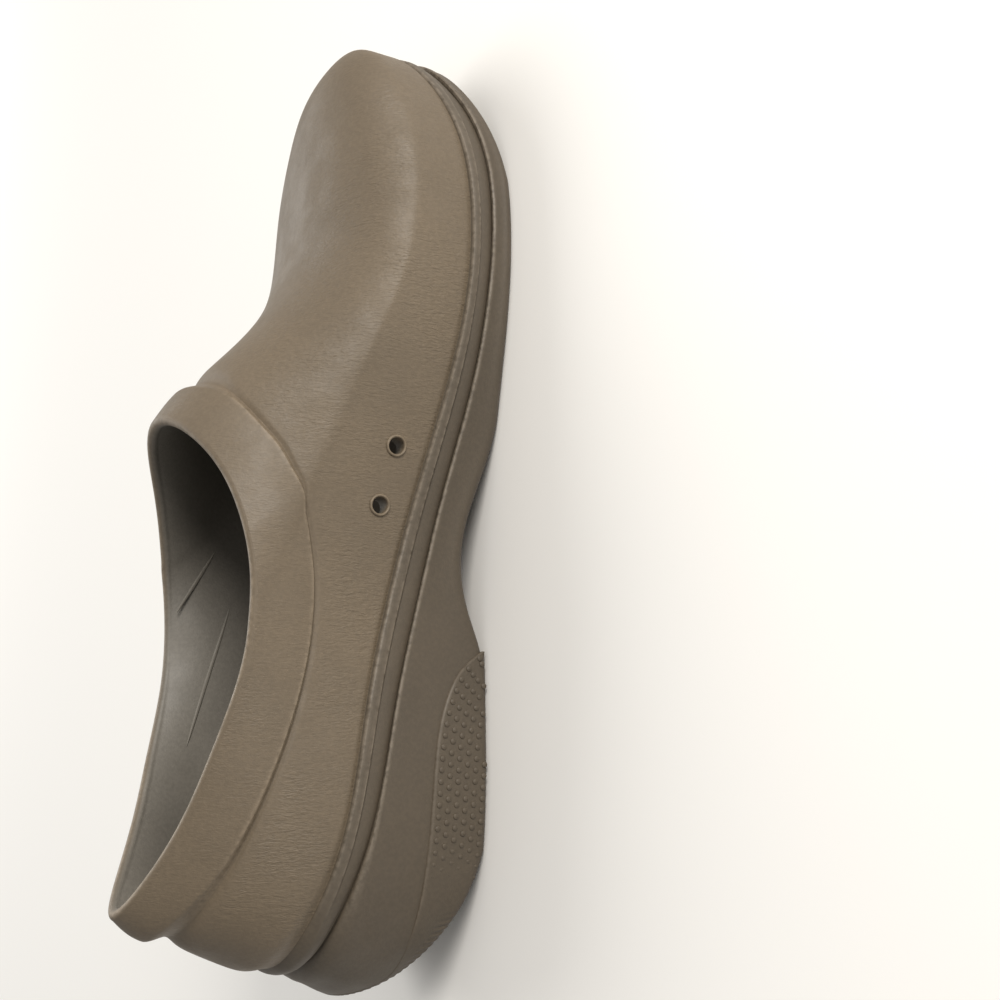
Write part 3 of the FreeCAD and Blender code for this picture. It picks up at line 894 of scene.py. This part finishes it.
def heel_bumps():
    """Round bumps in staggered rows on both flanks of the heel, fading out towards its back."""
    verts, faces = dome(BUMP_RADIUS, BUMP_HEIGHT, 12, 3)
    fine = np.linspace(float(turn_of(90.0)), float(turn_of(26.0)), 400)
    for which in (-1.0, 1.0):
        side = np.full(len(fine), which)
        edge = edge_point(fine, side, 9.0)
        run = np.concatenate([[0], np.cumsum(np.linalg.norm(np.diff(edge, axis=0), axis=1))])
        for row in range(8):
            steps = np.arange(0.5 if row % 2 else 0.0, run[-1] / BUMP_PITCH) * BUMP_PITCH
            turn = np.interp(steps, run, fine)
            station = station_of(turn)
            z = HEEL_TREAD_TOP(station) - 1.9 - row * BUMP_PITCH * 0.86
            keep = z > bottom_edge(turn) + 1.6
            turn, station, z = turn[keep], station[keep], z[keep]
            if len(turn) == 0:
                continue
            side = np.full(len(turn), which)
            foot = outline(z, -TREAD_PROUD, turn, side)
            out = unit(foot - outline(z, TREAD_PROUD, turn, side))
            up = np.tile([0.0, 0.0, 1.0], (len(turn), 1))
            size = smooth(station, 24, 44)[:, None, None]
            sunk = verts[None] * (0.35 + 0.65 * size) - np.array([0, 0, 1]) * (1 - size) * 0.3
            yield sunk, faces, foot, np.cross(up, out), up, out


def make_footbed():
    """A contoured sheet with a raised rim and small domes in staggered rows."""
    turn, _ = ring()
    plan = station_of(turn)
    top = POCKET(plan) + BED_RISE
    inset = CUP_INSET + 0.3
    rows = [outline(top - 3.6, inset), outline(top + 2.2, inset), outline(top + 2.6, inset + 0.4),
            outline(top + 2.3, inset + 1.1)]
    for k in range(1, 8):
        share = k / 7
        rows.append(outline(top + 2.3 * (1 - share) ** 2, inset + 1.1 + 7 * share))
    last = rows[-1]
    for k in range(1, 12):
        rows.append(to_spine(last, k / 11))
    head = [to_spine(rows[0], 1 - k / 3) for k in range(3)]
    soup = Soup()
    # The footbed takes part of the inside colour: painted shade tone.
    soup.rings(head + rows, [(0.6, 0.2, 0)] * (3 + len(rows)), closed=False)
    verts, faces = dome(1.15, 0.55, 8, 2)
    centres = []
    for j, station in enumerate(np.arange(22, 262, NUB_PITCH * 0.866)):
        t = float(turn_of(station))
        low = -float(INNER(t)) + inset + 9.5
        high = float(OUTER(t)) - inset - 9.5
        for x in np.arange(-60, 60, NUB_PITCH) + (NUB_PITCH / 2 if j % 2 else 0):
            if low < x < high and 24 < station < 256:
                centres.append(place(x, station, float(POCKET(station)) + BED_RISE))
    centres = np.array(centres)
    many = np.ones((len(centres), 1))
    # The domes take part of the inside colour, painted shade tone, and a pale mark: wear and
    # painted highlight.
    soup.copies(verts, faces, centres, many * (1, 0, 0), many * (0, 1, 0), many * (0, 0, 1),
                (0.6, 0.1, 0.2))
    return soup.piece("footbed_sheet")


# ---- materials ----
def node_material(name):
    material = bpy.data.materials.new(name)
    material.use_nodes = True
    tree = material.node_tree
    return material, tree, tree.nodes["Principled BSDF"]


class Graph:
    """Short names for the few shader nodes that the rubbers share."""

    def __init__(self, tree):
        self.tree = tree
        self.where = self.add("ShaderNodeTexCoord").outputs["Object"]

    def add(self, kind, **settings):
        node = self.tree.nodes.new(kind)
        for key, value in settings.items():
            setattr(node, key, value)
        return node

    def link(self, source, target):
        self.tree.links.new(source, target)

    def noise(self, size_mm, detail=3.0, stretch=(1, 1, 1), waver=0.0, roughness=0.5):
        """Noise with features of size_mm, drawn out along each axis by stretch."""
        mapping = self.add("ShaderNodeMapping")
        mapping.inputs["Scale"].default_value = [1 / (size_mm * MM * s) for s in stretch]
        self.link(self.where, mapping.inputs["Vector"])
        texture = self.add("ShaderNodeTexNoise")
        texture.inputs["Scale"].default_value = 1.0
        texture.inputs["Detail"].default_value = detail
        texture.inputs["Roughness"].default_value = roughness
        texture.inputs["Distortion"].default_value = waver
        self.link(mapping.outputs["Vector"], texture.inputs["Vector"])
        return texture.outputs["Fac"]

    def spread(self, value, low, high, to_low=0.0, to_high=1.0):
        node = self.add("ShaderNodeMapRange", interpolation_type="SMOOTHSTEP")
        node.inputs["From Min"].default_value = low
        node.inputs["From Max"].default_value = high
        node.inputs["To Min"].default_value = to_low
        node.inputs["To Max"].default_value = to_high
        self.link(value, node.inputs["Value"])
        return node.outputs["Result"]

    def math(self, operation, a, b):
        node = self.add("ShaderNodeMath", operation=operation)
        for socket, value in zip(node.inputs, (a, b)):
            if isinstance(value, (int, float)):
                socket.default_value = value
            else:
                self.link(value, socket)
        return node.outputs["Value"]

    def mix(self, share, a, b, blend="MIX"):
        node = self.add("ShaderNodeMix", data_type="RGBA", blend_type=blend)
        sockets = [s for s in node.inputs if s.enabled]
        for socket, value in zip(sockets, (share, a, b)):
            if isinstance(value, (int, float)):
                socket.default_value = value
            elif isinstance(value, tuple):
                socket.default_value = (*value, 1)
            else:
                self.link(value, socket)
        return [s for s in node.outputs if s.enabled][0]


def rubber(name, colour, inside_shade, wrinkle=0.0, fine=0.5, roughness=0.6):
    """Matte moulded foam rubber: fine skin, leather-like wrinkles, a greyer painted shade tone on
    the inside, and lighter edges that are partly wear and partly painted highlight.
    """
    material, tree, shader = node_material(name)
    graph = Graph(tree)
    mark = graph.add("ShaderNodeAttribute", attribute_name="mark")
    parts = graph.add("ShaderNodeSeparateXYZ")
    graph.link(mark.outputs["Vector"], parts.inputs["Vector"])
    inside, grain, wear_and_highlight = parts.outputs

    # Inside surfaces take the greyer inside colour: painted shade tone.
    base = graph.mix(inside, colour, inside_shade)
    cloud = graph.spread(graph.noise(34, 3), 0.3, 0.7, 0.93, 1.07)
    speck = graph.spread(graph.noise(1.1, 4), 0.3, 0.72, 0.93, 1.08)
    tone = graph.math("MULTIPLY", cloud, speck)
    bright = graph.add("ShaderNodeVectorMath", operation="SCALE")
    graph.link(base, bright.inputs[0])
    graph.link(tone, bright.inputs["Scale"])
    # Marked edges turn paler in patches: wear and painted highlight.
    patchy = graph.spread(graph.noise(1.6, 3), 0.25, 0.65)
    rubbed_and_highlit = graph.math("MULTIPLY", graph.math("MULTIPLY", wear_and_highlight, patchy), 0.9)
    pale_wear_and_highlight = tuple(c * 1.9 + 0.035 for c in colour)
    graph.link(graph.mix(rubbed_and_highlit, bright.outputs["Vector"], pale_wear_and_highlight), shader.inputs["Base Color"])

    uneven = graph.spread(graph.noise(9, 3), 0.3, 0.7, roughness - 0.05, roughness + 0.06)
    graph.link(uneven, shader.inputs["Roughness"])
    shader.inputs["Specular IOR Level"].default_value = 0.6

    skin_bump = graph.add("ShaderNodeBump")
    skin_bump.inputs["Strength"].default_value = fine
    skin_bump.inputs["Distance"].default_value = 0.12 * MM
    graph.link(graph.noise(0.55, 2), skin_bump.inputs["Height"])
    last = skin_bump
    if wrinkle:
        creases = graph.noise(0.62, 2.0, (3.6, 1.0, 3.6), 0.6)
        areas = graph.spread(graph.noise(16, 2), 0.3, 0.65, 0.35, 1.0)
        height = graph.math("MULTIPLY", graph.math("MULTIPLY", creases, areas), grain)
        wrinkles = graph.add("ShaderNodeBump")
        wrinkles.inputs["Strength"].default_value = wrinkle
        wrinkles.inputs["Distance"].default_value = 0.45 * MM
        graph.link(height, wrinkles.inputs["Height"])
        graph.link(skin_bump.outputs["Normal"], wrinkles.inputs["Normal"])
        last = wrinkles
    graph.link(last.outputs["Normal"], shader.inputs["Normal"])
    return material


def put(thing, material, slot, *nodes):
    thing.data.materials.clear()
    thing.data.materials.append(material)
    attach(thing, "root")
    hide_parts(*nodes)


# ---- build ----
skin = Skin()
upper_rubber = rubber("upper_rubber", COLOUR, INSIDE_SHADE_TONE, 0.75, 0.45)
collar_rubber = rubber("collar_rubber", COLOUR, INSIDE_SHADE_TONE, 0.55, 0.45)
sole_rubber = rubber("sole_rubber", SOLE_COLOUR_AND_SHADE, INSIDE_SHADE_TONE, 0.0, 0.4)
tread_rubber = rubber("tread_rubber", SOLE_COLOUR_AND_SHADE, INSIDE_SHADE_TONE, 0.0, 0.4)
bed_rubber = rubber("bed_rubber", COLOUR, INSIDE_SHADE_TONE, 0.0, 0.7)

put(make_upper(skin), upper_rubber, "upper_rubber", "upper_shell")
put(make_collar(skin), collar_rubber, "collar_rubber", "collar_band")
put(make_midsole(), sole_rubber, "midsole_rubber", "midsole")
put(make_outsole(), sole_rubber, "outsole_rubber", "outsole")
put(make_heel_tread(), tread_rubber, "tread_rubber", "heel_tread")
put(make_forefoot_tread(), tread_rubber, "tread_rubber", "forefoot_tread")
put(make_footbed(), bed_rubber, "footbed_rubber", "footbed")


# ---- stage ----
def make_floor():
    work = bmesh.new()
    bmesh.ops.create_grid(work, x_segments=2, y_segments=2, size=6.0)
    mesh = bpy.data.meshes.new("floor")
    work.to_mesh(mesh)
    work.free()
    floor = link("floor", mesh)
    material, _, shader = node_material("pale_floor")
    shader.inputs["Base Color"].default_value = (0.87, 0.86, 0.84, 1)
    shader.inputs["Roughness"].default_value = 0.9
    floor.data.materials.append(material)


def area_light(name, place_at, aim, size, power, colour=(1, 1, 1)):
    data = bpy.data.lights.new(name, "AREA")
    data.shape = "DISK"
    data.size = size
    data.energy = power
    data.color = colour
    lamp = bpy.data.objects.new(name, data)
    lamp.location = place_at
    lamp.rotation_euler = (Vector(aim) - Vector(place_at)).to_track_quat("-Z", "Y").to_euler()
    bpy.context.scene.collection.objects.link(lamp)


def make_lights():
    world = bpy.data.worlds.new("studio")
    world.use_nodes = True
    back = world.node_tree.nodes["Background"]
    back.inputs["Color"].default_value = (1.0, 0.985, 0.96, 1)
    back.inputs["Strength"].default_value = 0.45
    bpy.context.scene.world = world
    area_light("key", (-0.80, -0.55, 0.45), (0, -0.04, 0.04), 0.5, 12.0, (1, 0.96, 0.90))
    area_light("far", (1.6, -0.6, 1.35), (0, 0, 0.03), 1.8, 27.0, (1, 0.98, 0.94))


def make_camera():
    """The camera looks down at the inner side, turned so that the toe points up the picture."""
    aim = Vector((-0.02875, 0.002, -0.008))
    distance = 0.378
    elevation = math.radians(30)
    swing = math.radians(14)
    back = Vector((-math.cos(elevation) * math.cos(swing),
                   math.cos(elevation) * math.sin(swing), math.sin(elevation)))
    forward = -back
    up = Vector((0, -1, 0))
    up = (up - forward * up.dot(forward)).normalized()
    right = forward.cross(up)
    data = bpy.data.cameras.new("camera")
    data.lens = 46.8
    data.sensor_width = 36
    data.clip_start = 0.01
    camera = bpy.data.objects.new("camera", data)
    turn = Matrix((right, up, -forward)).transposed().to_4x4()
    camera.matrix_world = Matrix.Translation(aim + back * distance) @ turn
    bpy.context.scene.collection.objects.link(camera)
    bpy.context.scene.camera = camera


make_floor()
make_lights()
make_camera()
bpy.context.scene.view_settings.view_transform = "Standard"
